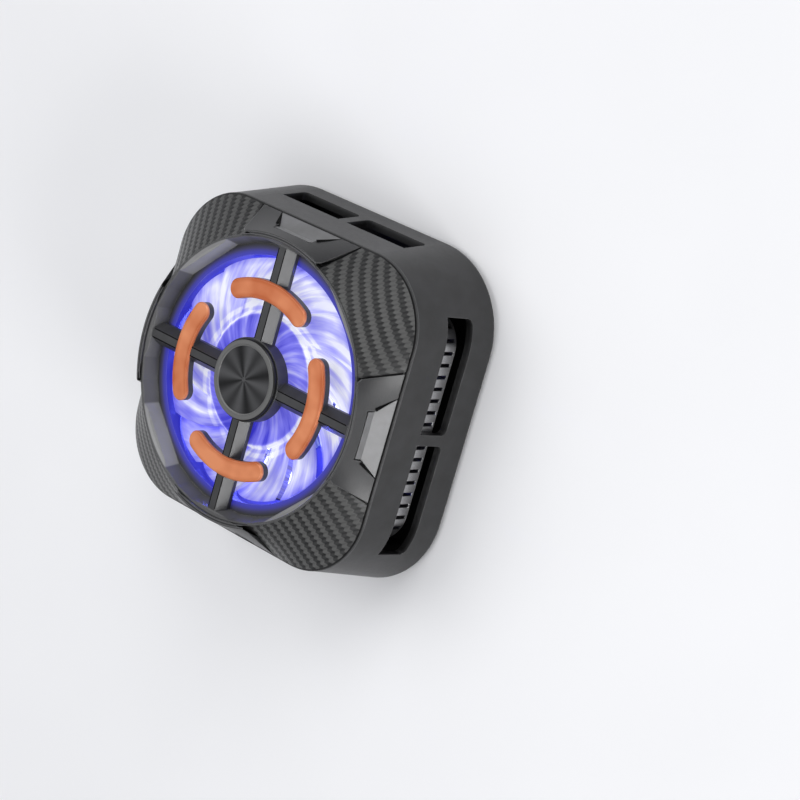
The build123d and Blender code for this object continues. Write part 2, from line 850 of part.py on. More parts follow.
# Cold plate: a round face through the rear cover under a square flange
def make_cold_plate():
    with BuildPart() as plate:
        with BuildSketch(Plane.XY.offset(thermal_pad_thickness)):
            Circle(cold_plate_radius)
        extrude(amount=inside_z - thermal_pad_thickness)
        with BuildSketch(Plane.XY.offset(inside_z)):
            RectangleRounded(cold_flange_width, cold_flange_width, cold_flange_radius)
        extrude(amount=cold_flange_thickness)
        with Locations(Plane.XY.offset(inside_z)):
            with square_corners(plate_screw_offset):
                screw_shape(cold_flange_thickness + overrun, screw_gap, mode=Mode.SUBTRACT)
    return plate


def make_ceramic(z):
    with BuildPart() as ceramic:
        with BuildSketch(Plane.XY.offset(z)):
            Rectangle(module_width, module_width)
        extrude(amount=ceramic_thickness)
    return ceramic


def make_elements():
    pitch = module_width / element_count
    with BuildPart() as elements:
        with BuildSketch(Plane.XY.offset(element_z)):
            with GridLocations(pitch, pitch, element_count, element_count):
                Rectangle(element_width, element_width)
        extrude(amount=element_height)
    return elements


def make_foam_gasket():
    inner = module_width + 2 * gasket_gap
    with BuildPart() as gasket:
        with BuildSketch(Plane.XY.offset(module_z)):
            Rectangle(inner + 2 * gasket_wall, inner + 2 * gasket_wall)
            Rectangle(inner, inner, mode=Mode.SUBTRACT)
        extrude(amount=sink_z - module_z)
    return gasket


# Heat sink: a core under a longer, thin plate with straight fins along X, rounded off at its corners
def make_heat_sink():
    with BuildPart() as sink:
        with BuildSketch(Plane.XY.offset(sink_z)):
            Rectangle(sink_length - 2 * sink_overhang, sink_width - 2 * sink_overhang)
        extrude(amount=sink_core_thickness)
        with BuildSketch(Plane.XY.offset(sink_plate_z)):
            RectangleRounded(sink_length, sink_width, sink_corner_radius)
        extrude(amount=sink_plate_thickness)
        with BuildSketch(Plane.XY.offset(fin_z)):
            with GridLocations(0, fin_pitch, 1, fin_count):
                Rectangle(sink_length, fin_thickness)
            RectangleRounded(sink_length, sink_width, sink_corner_radius, mode=Mode.INTERSECT)
        extrude(amount=fin_top_z - fin_z)
        with BuildSketch(Plane.XY.offset(sink_z)):
            with square_corners(plate_screw_offset):
                Circle(screw_radius)
        extrude(amount=plate_screw_bite, mode=Mode.SUBTRACT)
    return sink


def make_control_board():
    with BuildPart() as board:
        with BuildSketch(Plane.XY.offset(board_z)):
            with Locations((0, board_back_y - board_depth / 2)):
                Rectangle(board_width, board_depth)
        extrude(amount=board_thickness)
    return board


def make_driver_chip():
    with BuildPart() as chip:
        with BuildSketch(Plane.XY.offset(board_z)):
            with Locations((0, board_back_y - board_depth / 2)):
                Rectangle(chip_width, chip_width)
        extrude(amount=-chip_height)
    return chip


# Power socket: a round-ended metal shell, closed at its back, with a flat tongue
socket_plane = Plane(origin=(0, socket_front_y, socket_z), x_dir=(-1, 0, 0), z_dir=(0, 1, 0))


def make_power_socket():
    with BuildPart() as socket:
        with BuildSketch(socket_plane):
            SlotOverall(socket_width, socket_height)
        extrude(amount=socket_length)
        with BuildSketch(socket_plane):
            SlotOverall(socket_width - 2 * socket_wall, socket_height - 2 * socket_wall)
        extrude(amount=socket_length - socket_wall, mode=Mode.SUBTRACT)
    return socket


def make_socket_tongue():
    with BuildPart() as tongue:
        with BuildSketch(socket_plane.offset(tongue_inset)):
            Rectangle(tongue_width, tongue_thickness)
        extrude(amount=socket_length - socket_wall - tongue_inset)
    return tongue


def write(node, name):
    node.part.label = name
    export_step(node.part, f"parts/{name}.step")


def write_turned(node, name):
    """Write four copies of a piece, a quarter turn apart."""
    for quarter in range(4):
        with BuildPart() as turned:
            add(node.part, rotation=(0, 0, quarter * 90))
        write(turned, f"{name}_{quarter + 1}")


os.makedirs("parts", exist_ok=True)

side_panel = make_side_panel()
with BuildPart() as panel_space:
    panel_envelope()
    panel_seat()

write(make_main_case(), "main_case")
cover_core = make_dome(inlay_thickness)
write(make_front_cover(cover_core, panel_space), "front_cover")
write_turned(side_panel, "side_panel")
write_turned(make_panel_insert(), "panel_insert")
write_turned(make_corner_inlay(cover_core), "corner_inlay")
write(make_guard(), "guard_grille")
write_turned(make_accent_arc(), "accent_arc")
write(make_hub_bezel(), "hub_bezel")
write(make_hub_disc(), "hub_disc")
write(make_impeller(), "impeller")
write(make_rotor_yoke(), "rotor_yoke")
write(make_rotor_magnet(), "rotor_magnet")
write(make_rotor_shaft(), "rotor_shaft")
write(make_bearing_sleeve(), "bearing_sleeve")
write(make_stator_core(), "stator_core")
write(make_stator_windings(), "stator_windings")
write(make_fan_frame(), "fan_frame")
write(make_motor_board(), "motor_board")
write(make_light_emitters(), "light_emitters")
write(make_rear_cover(), "rear_cover")
write(make_ring_magnets(), "ring_magnets")
write(make_flat_ring(magnet_ring_radius, magnet_ring_width, steel_ring_z, steel_ring_thickness), "steel_ring")
write(make_flat_ring(pad_radius, pad_width, 0, pad_thickness), "silicone_pad")
write(make_thermal_pad(), "thermal_pad")
write(make_cold_plate(), "cold_plate")
write(make_ceramic(module_z), "module_cold_face")
write(make_elements(), "module_elements")
write(make_ceramic(hot_plate_z), "module_hot_face")
write(make_foam_gasket(), "foam_gasket")
write(make_heat_sink(), "heat_sink")
write(make_control_board(), "control_board")
write(make_driver_chip(), "driver_chip")
write(make_power_socket(), "power_socket")
write(make_socket_tongue(), "socket_tongue")
write(make_screws(post_offset, case_z, case_screw_length), "case_screws")
write(make_screws(boss_offset, frame_z, fan_screw_length), "fan_screws")
write(make_screws(plate_screw_offset, inside_z, plate_screw_length), "plate_screws")
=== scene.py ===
import json
from math import cos, pi, radians, sin, tan

import bmesh
import bpy
from mathutils import Matrix, Vector


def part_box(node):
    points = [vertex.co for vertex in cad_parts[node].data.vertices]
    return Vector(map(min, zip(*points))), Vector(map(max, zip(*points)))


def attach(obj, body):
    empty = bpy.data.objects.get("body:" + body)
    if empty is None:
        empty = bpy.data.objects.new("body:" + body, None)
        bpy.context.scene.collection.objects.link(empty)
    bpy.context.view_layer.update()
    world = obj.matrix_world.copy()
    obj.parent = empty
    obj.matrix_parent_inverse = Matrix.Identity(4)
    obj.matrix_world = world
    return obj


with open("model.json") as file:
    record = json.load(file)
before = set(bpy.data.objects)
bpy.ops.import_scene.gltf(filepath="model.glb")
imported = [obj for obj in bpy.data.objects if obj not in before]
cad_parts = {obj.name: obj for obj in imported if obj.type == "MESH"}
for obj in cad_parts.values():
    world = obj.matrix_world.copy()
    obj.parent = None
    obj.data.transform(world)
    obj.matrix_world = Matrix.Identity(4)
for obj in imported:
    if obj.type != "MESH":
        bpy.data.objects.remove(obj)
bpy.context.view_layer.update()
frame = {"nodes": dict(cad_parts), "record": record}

nodes = frame["nodes"]

# Lengths below are in millimetres, and this turns them into metres
MM = 0.001

UP = Vector((0, 0, 1))

# Camera: where it stands, its image axes and its focal length for a 36 mm wide sensor
CAMERA_PLACE = Vector((268.247, 103.354, 338.263)) * MM
CAMERA_RIGHT = Vector((0.72758264, 0.27146358, -0.63002463))
CAMERA_DOWN = Vector((0.35846434, -0.93346934, 0.01176066))
CAMERA_FORWARD = Vector((-0.58491608, -0.23439822, -0.77648609))
CAMERA_LENS = 115.11
SENSOR_WIDTH = 36.0

# Distance of the studio lamps and half-width of the floor, in metres
LAMP_DISTANCE = 0.6
FLOOR_HALF_WIDTH = 1.5

# Backdrop: its colour, the strength at which the camera sees it and at which it lights the object,
# and the distances over which the floor fades into it, in millimetres
BACKDROP = (0.92, 0.94, 1.0, 1)
BACKDROP_STRENGTH = 0.86
SOFT_LIGHT_STRENGTH = 0.34
FLOOR_FADE_START = 160.0
FLOOR_FADE_END = 380.0

# Mouth: its throat and bore, and where the corner facets start, counted from the nearest spoke
THROAT_FLOOR = 22.0
THROAT_RADIUS = 23.9
BORE_RADIUS = 20.9
CORNER_FACET_START = radians(30.5)

# Beads round the mouth: on the flat rims of the panels, and on the cover between them
RIM_TOP = 25.2
RIM_HALF_ANGLE = radians(20.0)
RIM_BEAD_RADII = {"inner": 24.2, "outer": 24.64}
MOUTH_TOP = 24.8
MOUTH_HALF_ANGLE = radians(23.2)
MOUTH_BEAD_RADIUS = 24.06

# Guard: its spokes' flat ridges, hub drum, disc, bezel and copper arcs
SPOKE_TOP = 24.4
SPOKE_RIDGE_HALF_WIDTH = 0.74
SPOKE_END = 22.9
DRUM_RADIUS = 7.1
DISC_TOP = 25.1
BEZEL_EDGE = 6.62
ARC_RADIUS = 15.35

# Impeller: its hub, its blades' tips and how far they sweep
HUB_RADIUS = 11.5
BLADE_TIP_RADIUS = 20.4
BLADE_SWEEP = radians(28.0)

# Outer wall of the case: half-width and corner radius at its foot, the foot's height and the wall's draft
CASE_HALF_WIDTH = 29.8
CASE_CORNER_RADIUS = 15.0
CASE_FOOT = 0.6
CASE_DRAFT = radians(7.4)
LIP_TOP = 18.3

# Side panel's slope from its foot to its rim, and its insert's slanting end from knee to foot,
# counted across the panel and up its slope
PANEL_FOOT_X = 27.2
PANEL_FOOT = 18.9
PANEL_RIM_X = 24.85
INSERT_KNEE = Vector((4.35, 3.2))
INSERT_FOOT = Vector((6.9, 0.1))
# Width at the knee of the black wedge of painted shadow along the insert's slanting ends
INSERT_SHADOW_WIDTH = 0.56

# Heat sink's fins and the motor's board above them
SINK_HALF_LENGTH = 26.65
SINK_TOP = 12.5
MOTOR_BOARD_FOOT = 13.6

# Ring of small blue lamps on the motor's board: their number, place, power and colour
INNER_LAMP_COUNT = 10
INNER_LAMP_RADIUS = 16.5
INNER_LAMP_HEIGHT = 14.2
INNER_LAMP_WATTS = 0.004
INNER_LAMP_BLUE = (0.12, 0.14, 1.0)

# Gold contacts on each face of the power socket's tongue
CONTACT_COUNT = 12
CONTACT_PITCH = 0.5
CONTACT_HALF_WIDTH = 0.13

# Carbon weave: turn of its columns from Y, and the pitches of its columns, their teeth and its fibres
WEAVE_TURN = radians(36.0)
COLUMN_PITCH = 1.8
TOOTH_PITCH = 0.8
FIBRE_PITCH = 0.15


class Graph:
    """A material's node tree, with short calls for the nodes that these finishes need."""

    def __init__(self, name):
        self.material = bpy.data.materials.new(name)
        self.material.use_nodes = True
        self.tree = self.material.node_tree
        self.tree.nodes.clear()
        self.output = self.node("ShaderNodeOutputMaterial")
        self.shader = self.node("ShaderNodeBsdfPrincipled")
        self.link(self.shader.outputs[0], self.output.inputs["Surface"])
        place = self.node("ShaderNodeTexCoord").outputs["Object"]
        scaled = self.node("ShaderNodeVectorMath", operation="SCALE")
        self.link(place, scaled.inputs[0])
        scaled.inputs["Scale"].default_value = 1 / MM
        self.place = scaled.outputs[0]
        parts = self.node("ShaderNodeSeparateXYZ")
        self.link(self.place, parts.inputs[0])
        self.x, self.y, self.z = parts.outputs

    def node(self, kind, **settings):
        made = self.tree.nodes.new(kind)
        for key, value in settings.items():
            setattr(made, key, value)
        return made

    def link(self, start, end):
        self.tree.links.new(start, end)

    def feed(self, socket, value):
        """Link a socket or set its value."""
        if isinstance(value, bpy.types.NodeSocket):
            self.link(value, socket)
        else:
            socket.default_value = value

    def math(self, operation, *values):
        """Result of a Math node."""
        made = self.node("ShaderNodeMath", operation=operation)
        for socket, value in zip(made.inputs, values):
            self.feed(socket, value)
        return made.outputs[0]

    def plus(self, first, second):
        return self.math("ADD", first, second)

    def minus(self, first, second):
        return self.math("SUBTRACT", first, second)

    def times(self, first, second):
        return self.math("MULTIPLY", first, second)

    def wave(self, turn):
        return self.math("SINE", turn)

    def radius(self):
        """Distance from the fan's axis."""
        return self.math("SQRT", self.plus(self.times(self.x, self.x), self.times(self.y, self.y)))

    def angle(self):
        """Angle about the fan's axis."""
        return self.math("ARCTAN2", self.y, self.x)

    def band(self, value, middle, half_width):
        """1 near the middle and 0 from half a width off it, with a soft edge."""
        away = self.math("ABSOLUTE", self.minus(value, middle))
        return self.step(away, half_width, half_width * 0.4)

    def step(self, value, low, high):
        """Smooth step from 0 at low to 1 at high."""
        made = self.node("ShaderNodeMapRange", interpolation_type="SMOOTHSTEP")
        self.feed(made.inputs["Value"], value)
        made.inputs["From Min"].default_value = low
        made.inputs["From Max"].default_value = high
        return made.outputs[0]

    def stretched(self, x, y, z):
        """The place with its axes scaled by three factors."""
        made = self.node("ShaderNodeVectorMath", operation="MULTIPLY")
        self.link(self.place, made.inputs[0])
        made.inputs[1].default_value = (x, y, z)
        return made.outputs[0]

    def vector(self, x, y, z):
        made = self.node("ShaderNodeCombineXYZ")
        for socket, value in zip(made.inputs, (x, y, z)):
            self.feed(socket, value)
        return made.outputs[0]

    def noise(self, scale, detail=3.0, place=None):
        made = self.node("ShaderNodeTexNoise")
        self.link(place or self.place, made.inputs["Vector"])
        made.inputs["Scale"].default_value = scale
        made.inputs["Detail"].default_value = detail
        return made.outputs["Fac"]

    def ramp(self, value, stops):
        """Colour from a value, by stops of position and colour."""
        made = self.node("ShaderNodeValToRGB")
        self.link(value, made.inputs[0])
        ramp = made.color_ramp
        while len(ramp.elements) < len(stops):
            ramp.elements.new(0.5)
        for element, (position, colour) in zip(ramp.elements, stops):
            element.position = position
            element.color = (*colour, 1)
        return made.outputs[0]

    def bump(self, height, distance, strength=1.0, bevel=0.0):
        """Raise the surface by a height in millimetres, on edges rounded by a bevel."""
        made = self.node("ShaderNodeBump")
        self.link(height, made.inputs["Height"])
        made.inputs["Distance"].default_value = distance * MM
        made.inputs["Strength"].default_value = strength
        if bevel:
            rounded = self.node("ShaderNodeBevel", samples=4)
            rounded.inputs["Radius"].default_value = bevel * MM
            self.link(rounded.outputs[0], made.inputs["Normal"])
        self.link(made.outputs[0], self.shader.inputs["Normal"])

    def moulded_grain(self, depth, bevel):
        """Fine grain of a moulded skin, on edges rounded by a bevel."""
        self.bump(self.noise(9.0, 4), depth, 1.0, bevel)

    def edges(self, width):
        """1 along edges, within a width in millimetres, and 0 on flat surfaces."""
        rounded = self.node("ShaderNodeBevel", samples=4)
        rounded.inputs["Radius"].default_value = width * MM
        flat = self.node("ShaderNodeNewGeometry").outputs["Normal"]
        along = self.node("ShaderNodeVectorMath", operation="DOT_PRODUCT")
        self.link(rounded.outputs[0], along.inputs[0])
        self.link(flat, along.inputs[1])
        return self.step(along.outputs["Value"], 0.99, 0.85)

    def mixed(self, share, first, second):
        """Colour between two colours or sockets by a share."""
        made = self.node("ShaderNodeMix", data_type="RGBA")
        self.feed(made.inputs[0], share)
        for socket, value in ((made.inputs[6], first), (made.inputs[7], second)):
            self.feed(socket, value)
        return made.outputs[2]

    def dimmed(self, colour, share):
        """Colour times a share."""
        made = self.node("ShaderNodeVectorMath", operation="SCALE")
        self.feed(made.inputs[0], colour)
        self.feed(made.inputs["Scale"], share)
        return made.outputs[0]

    def set(self, **values):
        """Set or link the shader's inputs by their names, with spaces as underscores."""
        for key, value in values.items():
            self.feed(self.shader.inputs[key.replace("_", " ")], value)
        return self.material


def grey(level):
    """Neutral colour of a level."""
    return (level, level, level, 1)


def moulded_plastic(name, level, rough, bevel=0.12, specular=0.4, edge_highlight=2.6):
    """Moulded plastic of a grey level: fine grain, faint mottling, and soft edges with a painted highlight.
    """
    g = Graph(name)
    dark = (level * 0.85,) * 3
    light = (level * 1.12, level * 1.12, level * 1.15)
    colour = g.ramp(g.noise(0.35, 4), [(0.3, dark), (0.7, light)])
    # Paler edges: a painted highlight along them
    colour = g.mixed(g.times(g.edges(bevel * 1.2), 0.8), colour, grey(level * edge_highlight))
    shine = g.plus(rough - 0.05, g.times(g.noise(1.3, 3), 0.1))
    g.moulded_grain(0.006, bevel)
    return g.set(Base_Color=colour, Roughness=shine, Specular_IOR_Level=specular)


def case_plastic():
    """Case: satin black, with a painted highlight along its edges and painted shade, near black, in the slots
    behind the face of its wall.
    """
    g = Graph("case_satin_black")
    centre = CASE_HALF_WIDTH - CASE_CORNER_RADIUS
    past_x = g.math("MAXIMUM", g.minus(g.math("ABSOLUTE", g.x), centre), 0.0)
    past_y = g.math("MAXIMUM", g.minus(g.math("ABSOLUTE", g.y), centre), 0.0)
    square = g.plus(g.times(past_x, past_x), g.times(past_y, past_y))
    drawn_in = g.times(g.minus(g.z, CASE_FOOT), tan(CASE_DRAFT))
    face = g.minus(CASE_CORNER_RADIUS, drawn_in)
    # Mask of the slots behind the wall's face, where shade is painted in
    painted_slot_shade = g.step(g.minus(face, g.math("SQRT", square)), 0.2, 0.7)
    colour = g.ramp(g.noise(0.35, 4), [(0.3, (0.021, 0.021, 0.021)), (0.7, (0.028, 0.028, 0.029))])
    # Paler edges: a painted highlight
    colour = g.mixed(g.times(g.edges(0.22), 0.8), colour, grey(0.085))
    colour = g.mixed(g.times(painted_slot_shade, 0.85), colour, grey(0.004))
    shine = g.plus(0.33, g.times(g.noise(1.3, 3), 0.1))
    g.moulded_grain(0.006, 0.18)
    return g.set(Base_Color=colour, Roughness=shine, Specular_IOR_Level=0.33)


def cover_plastic():
    """Front cover: satin black, with paler facets in its throat as painted light, palest in the corners, a
    floor in painted blue light, and a painted highlight along its edges.
    """
    g = Graph("cover_satin_black")
    turn = g.math("PINGPONG", g.plus(g.angle(), 2 * pi), pi / 4)
    corner = g.step(turn, CORNER_FACET_START - 0.01, CORNER_FACET_START + 0.01)
    throat = g.step(g.radius(), THROAT_RADIUS + 0.05, THROAT_RADIUS - 0.1)
    wall = g.times(throat, g.step(g.z, THROAT_FLOOR + 0.02, THROAT_FLOOR + 0.12))
    floor = g.times(throat, g.step(g.z, THROAT_FLOOR + 0.12, THROAT_FLOOR + 0.02))
    lit = g.times(floor, g.step(g.radius(), BORE_RADIUS + 1.9, BORE_RADIUS))
    # Paler throat facets, palest in the corners: painted light
    painted_facet_light = g.times(wall, g.plus(0.25, g.times(corner, 0.55)))
    colour = g.mixed(painted_facet_light, grey(0.03), grey(0.29))
    colour = g.mixed(lit, colour, (0.03, 0.03, 0.08, 1))
    # Paler edges: a painted highlight
    colour = g.mixed(g.times(g.edges(0.16), 0.75), colour, grey(0.2))
    colour = g.dimmed(colour, g.plus(0.85, g.times(g.noise(0.35, 4), 0.3)))
    glow = g.ramp(lit, [(0.0, (0, 0, 0)), (0.4, (0.04, 0.035, 0.2)), (1.0, (0.04, 0.04, 0.9))])
    g.moulded_grain(0.006, 0.12)
    g.set(Base_Color=colour, Roughness=0.36, Specular_IOR_Level=0.45)
    return g.set(Emission_Color=glow, Emission_Strength=0.4)


def carbon_skin():
    """Carbon look: slanting columns with toothed edges, woven of fine fibres, under a satin lacquer."""
    g = Graph("carbon_weave")
    across = g.plus(g.times(g.x, cos(WEAVE_TURN)), g.times(g.y, sin(WEAVE_TURN)))
    along = g.minus(g.times(g.y, cos(WEAVE_TURN)), g.times(g.x, sin(WEAVE_TURN)))
    tooth = g.math("PINGPONG", along, TOOTH_PITCH / 2)
    column = g.step(g.wave(g.times(g.plus(across, tooth), 2 * pi / COLUMN_PITCH)), -0.3, 0.3)
    warp = g.wave(g.times(g.plus(across, along), 2 * pi / FIBRE_PITCH))
    weft = g.wave(g.times(g.minus(across, along), 2 * pi / FIBRE_PITCH))
    fibres = g.plus(g.times(warp, column), g.times(weft, g.minus(1.0, column)))
    tow = g.math("ABSOLUTE", g.wave(g.times(along, pi / TOOTH_PITCH)))
    height = g.plus(g.times(column, 0.6), g.times(fibres, 0.15))
    height = g.plus(height, g.times(tow, 0.35))
    shade = g.plus(g.times(column, 0.55), g.times(g.noise(2.5, 3), 0.2))
    shade = g.plus(shade, g.times(tow, 0.25))
    colour = g.ramp(shade, [(0.12, (0.004, 0.004, 0.0045)), (0.9, (0.08, 0.08, 0.078))])
    rough = g.minus(0.5, g.times(column, 0.14))
    g.bump(height, 0.05, 0.8)
    g.set(Base_Color=colour, Roughness=rough, Specular_IOR_Level=0.3)
    return g.set(Coat_Weight=0.2, Coat_Roughness=0.2)


def guard_plastic():
    """Guard's plastic: satin black, faintly clouded, with a painted highlight along its edges."""
    g = Graph("guard_satin_black")
    # Paler edges: a painted highlight
    edge_highlight = g.times(g.edges(0.14), 0.7)
    clouded = g.ramp(g.noise(0.5, 3), [(0.3, (0.034, 0.034, 0.035)), (0.7, (0.044, 0.044, 0.046))])
    g.moulded_grain(0.005, 0.1)
    return g.set(Base_Color=g.mixed(edge_highlight, clouded, grey(0.13)), Roughness=0.36, Specular_IOR_Level=0.5)


def panel_plastic():
    """Side panels: satin plastic with a brushed look across their slope and a painted highlight along their
    edges.
    """
    g = Graph("panel_satin_black")
    brushed = g.noise(1.0, 3, g.stretched(1.2, 1.2, 9.0))
    colour = g.ramp(brushed, [(0.25, (0.023, 0.023, 0.024)), (0.75, (0.032, 0.032, 0.033))])
    # Paler edges: a painted highlight
    colour = g.mixed(g.times(g.edges(0.16), 0.8), colour, grey(0.16))
    shine = g.plus(0.3, g.times(brushed, 0.08))
    g.moulded_grain(0.005, 0.12)
    return g.set(Base_Color=colour, Roughness=shine, Specular_IOR_Level=0.4)


def spun_metal():
    """Hub disc: dark metal spun in rings, with its reflection painted in light and dark sectors about a
    centre dot.
    """
    g = Graph("spun_dark_metal")
    radius = g.radius()
    angle = g.angle()
    # Light and dark sectors: painted reflection
    broad_painted_sectors = g.wave(g.plus(g.times(angle, 8.0), 0.9))
    slow_painted_light = g.wave(g.plus(g.times(angle, 4.0), 2.1))
    light = g.plus(g.plus(g.times(broad_painted_sectors, 0.32), g.times(slow_painted_light, 0.16)), 0.5)
    rings = g.noise(1.0, 2, g.vector(g.times(radius, 9.0), 0.0, 0.0))
    light = g.plus(light, g.times(g.minus(rings, 0.5), 0.35))
    dot = g.step(radius, 0.55, 0.3)
    light = g.math("MAXIMUM", light, g.times(dot, 0.8))
    colour = g.ramp(light, [(0.0, (0.014, 0.014, 0.0145)), (1.0, (0.115, 0.115, 0.118))])
    g.bump(rings, 0.01, 0.6)
    return g.set(Base_Color=colour, Metallic=0.75, Roughness=0.34)


def bezel_metal():
    """Ring round the hub disc: grey turned metal with fine rings and bright edges."""
    g = Graph("bezel_grey_metal")
    rings = g.noise(1.0, 2, g.vector(g.times(g.radius(), 14.0), 0.0, 0.0))
    colour = g.ramp(rings, [(0.3, (0.12, 0.12, 0.118)), (0.7, (0.18, 0.18, 0.176))])
    colour = g.mixed(g.step(g.radius(), BEZEL_EDGE, BEZEL_EDGE + 0.08), colour, grey(0.012))
    g.bump(rings, 0.008, 0.7, 0.06)
    return g.set(Base_Color=colour, Metallic=0.35, Roughness=0.33)


def copper_accent():
    """Copper-coloured satin lacquer: cloudy, deeper towards the sides as painted shade, with a painted
    highlight along its edges.
    """
    g = Graph("copper_accent")
    away = g.math("ABSOLUTE", g.minus(g.radius(), ARC_RADIUS))
    # Deeper colour towards the sides: painted shade
    side = g.step(away, 0.7, 1.6)
    shade = g.plus(g.times(g.noise(0.16, 2), 0.8), g.times(side, -0.14))
    colour = g.ramp(shade, [(0.22, (0.5, 0.115, 0.03)), (0.5, (0.74, 0.27, 0.12))])
    # Paler edges: a painted highlight
    colour = g.mixed(g.times(g.edges(0.16), 0.5), colour, (0.9, 0.5, 0.33, 1))
    g.bump(g.noise(7.0, 3), 0.006, 1.0, 0.1)
    return g.set(Base_Color=colour, Metallic=0.15, Roughness=0.34, Specular_IOR_Level=0.5)


def lit_impeller():
    """Impeller: milky blades full of blue light painted on as a glow, streaked along their sweep, with pale
    rings of painted highlight at its hub.
    """
    g = Graph("impeller_blue_light")
    radius = g.radius()
    angle = g.angle()
    turn = g.times(radius, BLADE_SWEEP / (BLADE_TIP_RADIUS - HUB_RADIUS))
    swirl = g.plus(angle, turn)
    streak_place = g.vector(
        g.times(g.math("COSINE", swirl), 7.0),
        g.times(g.wave(swirl), 7.0),
        g.times(radius, 0.1),
    )
    streaks = g.noise(1.0, 4, streak_place)
    glow = g.plus(g.times(streaks, 0.85), g.times(g.noise(0.13, 2), 0.45))
    glow = g.plus(glow, g.times(g.step(radius, HUB_RADIUS - 0.9, HUB_RADIUS - 0.1), 0.22))
    # Pale rings at the hub's edge: painted highlights
    glow = g.plus(glow, g.times(g.band(radius, HUB_RADIUS - 0.1, 0.5), 0.13))
    glow = g.plus(glow, g.times(g.band(radius, HUB_RADIUS + 1.3, 0.6), 0.1))
    glow = g.minus(glow, g.times(g.step(radius, 19.0, BLADE_TIP_RADIUS), 0.12))
    # Glow a little brighter towards one side: painted light
    slow_painted_light = g.math("COSINE", g.minus(angle, radians(50.0)))
    glow = g.plus(glow, g.times(slow_painted_light, 0.06))
    colour = g.ramp(
        glow,
        [
            (0.5, (0.045, 0.04, 0.62)),
            (0.7, (0.2, 0.19, 0.86)),
            (0.88, (0.5, 0.5, 0.97)),
            (1.0, (0.86, 0.87, 1.0)),
        ],
    )
    g.bump(streaks, 0.1, 0.4, 0.08)
    g.set(Base_Color=g.dimmed(colour, 0.42), Roughness=0.3, Coat_Weight=0.3, Coat_Roughness=0.15)
    return g.set(Emission_Color=colour, Emission_Strength=0.68)


def blue_light():
    """Light emitter: a bright blue window with a paler middle."""
    g = Graph("blue_emitter")
    colour = g.ramp(g.noise(1.2, 1), [(0.3, (0.12, 0.14, 1.0)), (0.7, (0.55, 0.6, 1.0))])
    return g.set(Base_Color=colour, Emission_Color=colour, Roughness=0.2, Emission_Strength=6.0)


def brushed_metal(name, colour, rough, stretch):
    """Metal with fine lines drawn along the axis whose stretch is smallest."""
    g = Graph(name)
    lines = g.noise(1.0, 3, g.stretched(*stretch))
    dark = tuple(c * 0.8 for c in colour)
    light = tuple(min(1.0, c * 1.08) for c in colour)
    shade = g.ramp(lines, [(0.3, dark), (0.7, light)])
    shine = g.plus(rough - 0.08, g.times(lines, 0.16))
    g.bump(lines, 0.008, 0.6, 0.06)
    return g.set(Base_Color=shade, Metallic=1.0, Roughness=shine)


def fin_aluminium():
    """Heat sink: drawn aluminium, with a painted highlight at the fins' ends, painted shade between them, and
    painted blue light under the impeller.
    """
    g = Graph("extruded_aluminium")
    lines = g.noise(1.0, 3, g.stretched(0.5, 9.0, 9.0))
    ends = g.step(g.math("ABSOLUTE", g.x), SINK_HALF_LENGTH - 0.3, SINK_HALF_LENGTH - 0.05)
    # Darker tone along the fins inside the case: painted shade
    painted_shade_tone = g.ramp(lines, [(0.3, (0.1, 0.1, 0.105)), (0.7, (0.16, 0.16, 0.165))])
    # Paler tone at the fins' ends: a painted highlight
    pale = g.ramp(lines, [(0.3, (0.42, 0.42, 0.43)), (0.7, (0.66, 0.66, 0.67))])
    under = g.step(g.radius(), BORE_RADIUS + 1.0, BORE_RADIUS - 1.5)
    lit = g.times(under, g.step(g.z, SINK_TOP - 5.0, SINK_TOP - 2.0))
    blue = g.ramp(lines, [(0.3, (0.16, 0.15, 0.8)), (0.7, (0.36, 0.36, 1.0))])
    glow = g.mixed(lit, grey(0), blue)
    g.bump(lines, 0.008, 0.6, 0.06)
    g.set(Base_Color=g.mixed(ends, painted_shade_tone, pale), Metallic=0.9, Roughness=0.36)
    return g.set(Emission_Color=glow, Emission_Strength=0.6)


def soft_pad(name, colour, rough):
    """Rubbery sheet: fine pitted skin with faint clouding."""
    g = Graph(name)
    dark = tuple(c * 0.85 for c in colour)
    light = tuple(min(1.0, c * 1.15) for c in colour)
    shade = g.ramp(g.noise(0.5, 3), [(0.3, dark), (0.7, light)])
    g.bump(g.noise(14.0, 2), 0.02, 0.7, 0.08)
    return g.set(Base_Color=shade, Roughness=rough, Specular_IOR_Level=0.35)


def circuit_board(name):
    """Board: green lacquer over straight raised tracks, with blue light on the motor's board."""
    g = Graph(name)
    lanes = g.wave(g.times(g.plus(g.x, g.y), 2 * pi / 1.1))
    track = g.step(lanes, 0.1, 0.3)
    colour = g.ramp(track, [(0.0, (0.006, 0.03, 0.016)), (1.0, (0.02, 0.085, 0.045))])
    lit = g.step(g.z, MOTOR_BOARD_FOOT - 0.3, MOTOR_BOARD_FOOT + 0.3)
    blue = g.ramp(track, [(0.0, (0.12, 0.12, 0.8)), (1.0, (0.3, 0.3, 1.0))])
    glow = g.mixed(lit, grey(0), blue)
    g.bump(track, 0.03, 0.8)
    g.set(Base_Color=colour, Roughness=0.32, Coat_Weight=0.3)
    return g.set(Emission_Color=glow, Emission_Strength=0.5)


def wound_copper():
    """Enamelled wire: fine turns across the coil."""
    g = Graph("wound_copper")
    turns = g.wave(g.times(g.radius(), 2 * pi / 0.22))
    colour = g.ramp(g.step(turns, -1.0, 1.0), [(0.0, (0.22, 0.07, 0.02)), (1.0, (0.78, 0.34, 0.14))])
    g.bump(turns, 0.04, 0.9)
    return g.set(Base_Color=colour, Metallic=0.8, Roughness=0.28)


